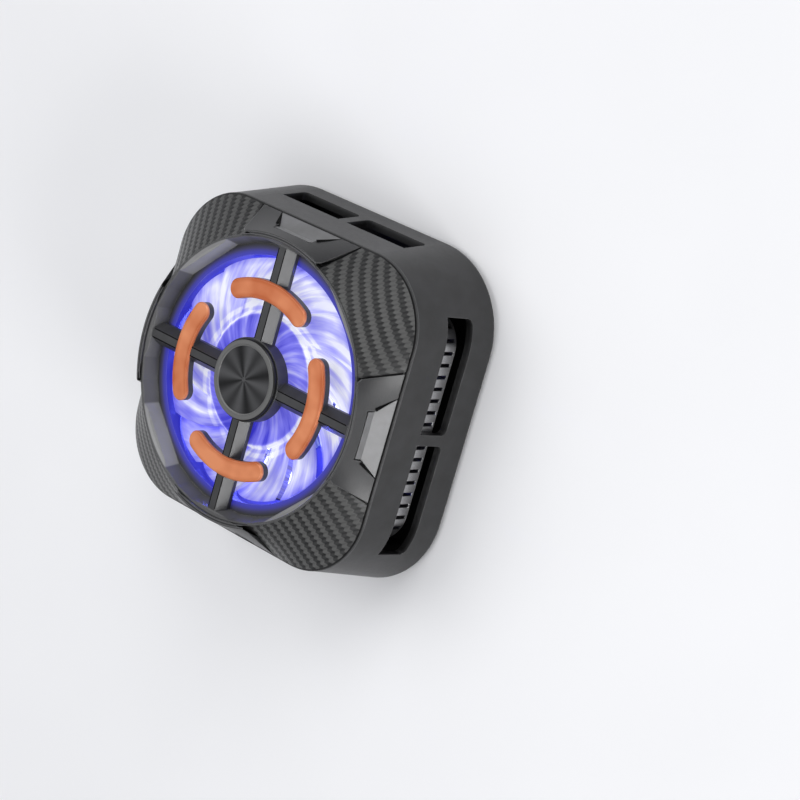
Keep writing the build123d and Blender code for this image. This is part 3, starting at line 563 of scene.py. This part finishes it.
# Finish of each CAD slot
FINISHES = {
    "case_plastic": case_plastic(),
    "cover_plastic": cover_plastic(),
    "panel_plastic": panel_plastic(),
    # Panel inserts: a grey paler than the panels, which paints on the light they catch
    "insert_plastic": moulded_plastic("insert_painted_light_grey", 0.145, 0.34, edge_highlight=1.8),
    "carbon": carbon_skin(),
    "guard_plastic": guard_plastic(),
    "bezel_metal": bezel_metal(),
    "spun_metal": spun_metal(),
    "copper_accent": copper_accent(),
    "lit_plastic": lit_impeller(),
    "steel": brushed_metal("drawn_steel", (0.55, 0.55, 0.57), 0.3, (0.6, 12.0, 12.0)),
    "magnet": brushed_metal("plated_magnet", (0.42, 0.42, 0.43), 0.28, (5.0, 5.0, 5.0)),
    "brass": brushed_metal("sintered_brass", (0.7, 0.5, 0.2), 0.4, (6.0, 6.0, 6.0)),
    "copper_wire": wound_copper(),
    "board": circuit_board("green_board"),
    "blue_light": blue_light(),
    "silicone": soft_pad("black_silicone", (0.03, 0.03, 0.032), 0.62),
    "thermal_silicone": soft_pad("grey_thermal_pad", (0.36, 0.38, 0.41), 0.7),
    "fin_aluminium": fin_aluminium(),
    "ceramic": soft_pad("white_ceramic", (0.78, 0.78, 0.76), 0.55),
    "element": brushed_metal("module_element", (0.3, 0.3, 0.32), 0.5, (4.0, 4.0, 4.0)),
    "foam": soft_pad("black_foam", (0.02, 0.02, 0.02), 0.9),
    "chip": moulded_plastic("chip_black", 0.02, 0.5, bevel=0.05),
    "screw_steel": brushed_metal("black_screw_steel", (0.16, 0.16, 0.165), 0.36, (6.0, 6.0, 1.0)),
}

# Finishes of the small pieces that only the scene has
# Black of small pieces that stand where there is only shade: painted shadow
SHADOW_BLACK = moulded_plastic("painted_shadow_black", 0.002, 0.7, bevel=0.03, specular=0.06, edge_highlight=1.0)
# Grey paler than the cover for the beads: a painted highlight
BEAD_HIGHLIGHT_GREY = moulded_plastic("bead_painted_highlight", 0.1, 0.32, bevel=0.03, edge_highlight=1.5)
# Grey paler than the case for the seam's lip: a painted highlight
LIP_HIGHLIGHT_GREY = moulded_plastic("lip_painted_highlight", 0.055, 0.32, bevel=0.03, edge_highlight=1.5)
CONTACT_GOLD = brushed_metal("contact_gold", (0.95, 0.66, 0.26), 0.24, (9.0, 0.6, 9.0))
CAPACITOR_CERAMIC = moulded_plastic("capacitor_ceramic", 0.16, 0.45, bevel=0.04, edge_highlight=1.3)
SOLDER_TIN = brushed_metal("solder_tin", (0.62, 0.62, 0.63), 0.35, (6.0, 6.0, 6.0))


def add_piece(name, vertices, faces, material):
    """Closed mesh that rides on the housing, from places in millimetres, with its faces turned outward."""
    mesh = bpy.data.meshes.new(name)
    mesh.from_pydata([Vector(v) * MM for v in vertices], [], faces)
    shell = bmesh.new()
    shell.from_mesh(mesh)
    if shell.calc_volume(signed=True) < 0:
        mesh.flip_normals()
    shell.free()
    mesh.materials.append(material)
    piece = bpy.data.objects.new(name, mesh)
    bpy.context.scene.collection.objects.link(piece)
    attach(piece, "housing")


def bead(points, sides, ups, width, height, closed=False):
    """Half-round bead along points on its foot, with unit vectors to one side and up at each point."""
    profile = [(-0.5, 0.0), (-0.36, 0.62), (-0.14, 0.96), (0.14, 0.96), (0.36, 0.62), (0.5, 0.0)]
    size = len(profile)
    vertices = []
    for point, side, up in zip(points, sides, ups):
        vertices += [point + side * (across * width) + up * (rise * height) for across, rise in profile]
    faces = []
    for start in range(0, len(vertices) if closed else len(vertices) - size, size):
        following = (start + size) % len(vertices)
        for place in range(size):
            after = (place + 1) % size
            faces.append((start + place, start + after, following + after, following + place))
    if not closed:
        faces.append(tuple(range(size))[::-1])
        faces.append(tuple(range(len(vertices) - size, len(vertices))))
    return vertices, faces


def arc_bead(name, middle, half_angle, radius, foot):
    """Fine bead along an arc about the fan's axis."""
    steps = 32
    turns = [middle + half_angle * (2 * k / steps - 1) for k in range(steps + 1)]
    sides = [Vector((cos(turn), sin(turn), 0)) for turn in turns]
    points = [side * radius + UP * foot for side in sides]
    vertices, faces = bead(points, sides, [UP] * len(points), width=0.15, height=0.045)
    add_piece(name, vertices, faces, BEAD_HIGHLIGHT_GREY)


def make_mouth_beads():
    """Two fine beads on each side panel's rim, and one on the mouth's edge between each two panels, in a
    paler grey that paints a highlight.
    """
    for side in range(4):
        turn = side * pi / 2
        for label, radius in RIM_BEAD_RADII.items():
            name = f"rim_bead_{side + 1}_{label}"
            arc_bead(name, turn, RIM_HALF_ANGLE, radius, RIM_TOP)
        name = f"mouth_bead_{side + 1}"
        arc_bead(name, turn + pi / 4, MOUTH_HALF_ANGLE, MOUTH_BEAD_RADIUS, MOUTH_TOP)


def make_seam_lip():
    """Fine bead round the case, just below the seam, in a paler grey that paints a highlight."""
    half_width = CASE_HALF_WIDTH - (LIP_TOP - CASE_FOOT) * tan(CASE_DRAFT)
    centre = CASE_HALF_WIDTH - CASE_CORNER_RADIUS
    corner_steps = 20
    points, outs = [], []
    for corner in range(4):
        turn = Matrix.Rotation(corner * pi / 2, 3, "Z")
        for k in range(corner_steps + 1):
            angle = k / corner_steps * pi / 2
            out = turn @ Vector((cos(angle), sin(angle), 0))
            points.append(turn @ Vector((centre, centre, LIP_TOP)) + out * (half_width - centre))
            outs.append(out)
    ups = [(out * cos(CASE_DRAFT) + UP * sin(CASE_DRAFT)) for out in outs]
    sides = [(UP * cos(CASE_DRAFT) - out * sin(CASE_DRAFT)) for out in outs]
    vertices, faces = bead(points, sides, ups, width=0.22, height=0.05, closed=True)
    add_piece("seam_lip", vertices, faces, LIP_HIGHLIGHT_GREY)


def make_insert_end_shadows():
    """Narrow black wedge of painted shadow along each slanting end of the panel inserts, widest at the
    insert's knee.
    """
    edge = (INSERT_FOOT - INSERT_KNEE).normalized()
    wide = INSERT_KNEE + Vector((-edge.y, edge.x)) * INSERT_SHADOW_WIDTH
    slope = Vector((PANEL_RIM_X - PANEL_FOOT_X, 0, RIM_TOP - PANEL_FOOT)).normalized()
    out = Vector((slope.z, 0, -slope.x))
    foot = Vector((PANEL_FOOT_X, 0, PANEL_FOOT))
    for panel in range(4):
        turn = Matrix.Rotation(panel * pi / 2, 3, "Z")
        for label, way in (("left", 1), ("right", -1)):
            vertices = []
            for rise in (-0.1, 0.02):
                for corner in (INSERT_KNEE, wide, INSERT_FOOT):
                    along = Vector((0, way * corner.x, 0))
                    vertices.append(turn @ (foot + along + slope * corner.y + out * rise))
            faces = [(0, 1, 2), (5, 4, 3), (0, 3, 4, 1), (1, 4, 5, 2), (2, 5, 3, 0)]
            add_piece(f"insert_end_shadow_{panel + 1}_{label}", vertices, faces, SHADOW_BLACK)


def make_spoke_shadow_lines():
    """Fine black line of painted shadow along each edge of the spokes' flat ridges."""
    for spoke in range(4):
        turn = Matrix.Rotation(spoke * pi / 2, 3, "Z")
        side = turn @ Vector((0, 1, 0))
        for label, way in (("left", 1), ("right", -1)):
            offset = way * SPOKE_RIDGE_HALF_WIDTH
            ends = [turn @ Vector((reach, offset, SPOKE_TOP)) for reach in (DRUM_RADIUS, SPOKE_END)]
            vertices, faces = bead(ends, [side] * 2, [UP] * 2, width=0.2, height=0.03)
            add_piece(f"spoke_shadow_line_{spoke + 1}_{label}", vertices, faces, SHADOW_BLACK)


def make_hub_ring():
    """Turned step between the hub disc and its bezel, and the disc's small centre boss."""
    ring = [(5.64, 0.0), (5.68, 0.07), (5.76, 0.11), (5.93, 0.13), (5.93, 0.0)]
    boss = [(0.42, 0.0), (0.36, 0.04), (0.2, 0.055), (0.1, 0.04)]
    steps = 96
    rings = (("hub_step_ring", ring, "bezel_metal"), ("hub_centre_boss", boss, "spun_metal"))
    for name, profile, slot in rings:
        size = len(profile)
        vertices = []
        for k in range(steps):
            turn = 2 * pi * k / steps
            vertices += [(r * cos(turn), r * sin(turn), DISC_TOP + up) for r, up in profile]
        faces = []
        for k in range(steps):
            here, there = k * size, (k + 1) % steps * size
            for place in range(size):
                after = (place + 1) % size
                faces.append((here + place, there + place, there + after, here + after))
        add_piece(name, vertices, faces, FINISHES[slot])


def block(low, high):
    """Corners and faces of a block with its upper edges cut off, from its low and high corners."""
    cut = 0.18 * min(high[axis] - low[axis] for axis in range(3))
    vertices = []
    for z, inset in ((low[2], 0.0), (high[2] - cut, 0.0), (high[2], cut)):
        x0, x1, y0, y1 = low[0] + inset, high[0] - inset, low[1] + inset, high[1] - inset
        vertices += [(x0, y0, z), (x1, y0, z), (x1, y1, z), (x0, y1, z)]
    faces = [(3, 2, 1, 0), (8, 9, 10, 11)]
    for start in (0, 4):
        faces += [(start + k, start + (k + 1) % 4, start + 4 + (k + 1) % 4, start + 4 + k) for k in range(4)]
    return vertices, faces


def add_blocks(name, boxes, material):
    """One piece of several blocks."""
    vertices, faces = [], []
    for low, high in boxes:
        more, sides = block(low, high)
        faces += [tuple(len(vertices) + corner for corner in side) for side in sides]
        vertices += more
    add_piece(name, vertices, faces, material)


def make_socket_contacts():
    """Row of gold contacts on each face of the power socket's tongue."""
    low, high = (Vector(corner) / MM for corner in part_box("socket_tongue"))
    front, back = low.y + 0.35, low.y + 3.2
    boxes = []
    for number in range(CONTACT_COUNT):
        x = (number - (CONTACT_COUNT - 1) / 2) * CONTACT_PITCH
        left, right = x - CONTACT_HALF_WIDTH, x + CONTACT_HALF_WIDTH
        for foot, top in ((high.z - 0.01, high.z + 0.03), (low.z - 0.03, low.z + 0.01)):
            boxes.append(((left, front, foot), (right, back, top)))
    add_blocks("socket_contacts", boxes, CONTACT_GOLD)


def make_board_parts():
    """Small capacitors with tinned ends, beside the socket on the control board and beside the chip below."""
    low, high = (Vector(corner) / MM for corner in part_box("control_board"))
    bodies, ends = [], []
    for side in (-1, 1):
        for number in range(3):
            middle = Vector((side * 5.25, low.y + 1.1 + 1.7 * number, high.z))
            below = Vector((side * (2.6 + 1.2 * number), low.y + 1.6, low.z - 0.5))
            for x, y, foot in (middle, below):
                bodies.append(((x - 0.3, y - 0.3, foot + 0.02), (x + 0.3, y + 0.3, foot + 0.48)))
                for start in (y - 0.5, y + 0.3):
                    ends.append(((x - 0.32, start, foot), (x + 0.32, start + 0.2, foot + 0.5)))
    add_blocks("board_capacitors", bodies, CAPACITOR_CERAMIC)
    add_blocks("capacitor_ends", ends, SOLDER_TIN)


def finish_cad_nodes():
    """Give every CAD node the finish of its record slot."""
    for entry in frame["record"]["subparts"]:
        piece = nodes[entry["node"]]
        for place in piece.material_slots:
            place.material = FINISHES[entry["material_slot"]]


def make_camera():
    """Camera at the photograph's viewing angle."""
    camera = bpy.data.objects.new("camera", bpy.data.cameras.new("camera"))
    camera.data.sensor_width = SENSOR_WIDTH
    camera.data.lens = CAMERA_LENS
    camera.data.clip_start = 0.01
    camera.data.clip_end = 10
    axes = Matrix((CAMERA_RIGHT, -CAMERA_DOWN, -CAMERA_FORWARD)).transposed()
    camera.matrix_world = Matrix.Translation(CAMERA_PLACE) @ axes.to_4x4()
    bpy.context.scene.collection.objects.link(camera)
    bpy.context.scene.camera = camera


def make_floor():
    """Plain pale floor, which the camera sees fade into the backdrop's colour far from the object."""
    mesh = bpy.data.meshes.new("floor")
    signs = ((-1, -1), (1, -1), (1, 1), (-1, 1))
    corners = [(x * FLOOR_HALF_WIDTH, y * FLOOR_HALF_WIDTH, 0) for x, y in signs]
    mesh.from_pydata(corners, [], [(0, 1, 2, 3)])
    floor = bpy.data.objects.new("floor", mesh)
    bpy.context.scene.collection.objects.link(floor)
    g = Graph("pale_floor")
    seen = g.node("ShaderNodeLightPath").outputs["Is Camera Ray"]
    far = g.times(seen, g.step(g.radius(), FLOOR_FADE_START, FLOOR_FADE_END))
    near = g.ramp(g.noise(0.02, 2), [(0.3, (0.86, 0.86, 0.87)), (0.7, (0.88, 0.88, 0.89))])
    g.set(Base_Color=g.mixed(far, near, grey(0)), Roughness=0.85, Specular_IOR_Level=0.0)
    g.set(Emission_Color=BACKDROP, Emission_Strength=g.times(far, BACKDROP_STRENGTH))
    mesh.materials.append(g.material)


def area_lamp(name, azimuth, elevation, size, watts):
    """Soft square lamp that faces the object from an azimuth about Z, counted from X, and an elevation."""
    way = Vector((1, 0, 0))
    way.rotate(Matrix.Rotation(-radians(elevation), 3, "Y"))
    way.rotate(Matrix.Rotation(radians(azimuth), 3, "Z"))
    lamp = bpy.data.objects.new(name, bpy.data.lights.new(name, "AREA"))
    lamp.data.shape = "SQUARE"
    lamp.data.size = size
    lamp.data.energy = watts
    lamp.location = way * LAMP_DISTANCE
    lamp.rotation_euler = way.to_track_quat("Z", "Y").to_euler()
    bpy.context.scene.collection.objects.link(lamp)


def make_lights():
    """White studio lamps, and a soft world that the camera sees as the pale backdrop."""
    area_lamp("side_lamp", azimuth=-14, elevation=17, size=0.22, watts=2.0)
    area_lamp("key_lamp", azimuth=150, elevation=58, size=0.4, watts=1.35)
    area_lamp("front_lamp", azimuth=-75, elevation=62, size=0.4, watts=0.6)
    area_lamp("fill_lamp", azimuth=70, elevation=36, size=0.3, watts=1.0)
    world = bpy.data.worlds.new("studio")
    world.use_nodes = True
    tree = world.node_tree
    ground = tree.nodes["Background"]
    ground.inputs["Color"].default_value = BACKDROP
    seen = tree.nodes.new("ShaderNodeLightPath").outputs["Is Camera Ray"]
    strength = tree.nodes.new("ShaderNodeMapRange")
    strength.inputs["To Min"].default_value = SOFT_LIGHT_STRENGTH
    strength.inputs["To Max"].default_value = BACKDROP_STRENGTH
    tree.links.new(seen, strength.inputs["Value"])
    tree.links.new(strength.outputs[0], ground.inputs["Strength"])
    bpy.context.scene.world = world
    bpy.context.scene.view_settings.view_transform = "Standard"


def make_inner_lamps():
    """Blue light of the emitters, which falls on the blades and the shroud from below."""
    for number in range(INNER_LAMP_COUNT):
        name = f"inner_lamp_{number + 1}"
        lamp = bpy.data.objects.new(name, bpy.data.lights.new(name, "POINT"))
        lamp.data.energy = INNER_LAMP_WATTS
        lamp.data.color = INNER_LAMP_BLUE
        lamp.data.shadow_soft_size = 1.0 * MM
        turn = Matrix.Rotation(2 * pi * number / INNER_LAMP_COUNT, 3, "Z")
        lamp.location = turn @ Vector((INNER_LAMP_RADIUS, 0, INNER_LAMP_HEIGHT)) * MM
        bpy.context.scene.collection.objects.link(lamp)


finish_cad_nodes()
make_mouth_beads()
make_seam_lip()
make_insert_end_shadows()
make_spoke_shadow_lines()
make_hub_ring()
make_socket_contacts()
make_board_parts()
make_camera()
make_floor()
make_lights()
make_inner_lamps()
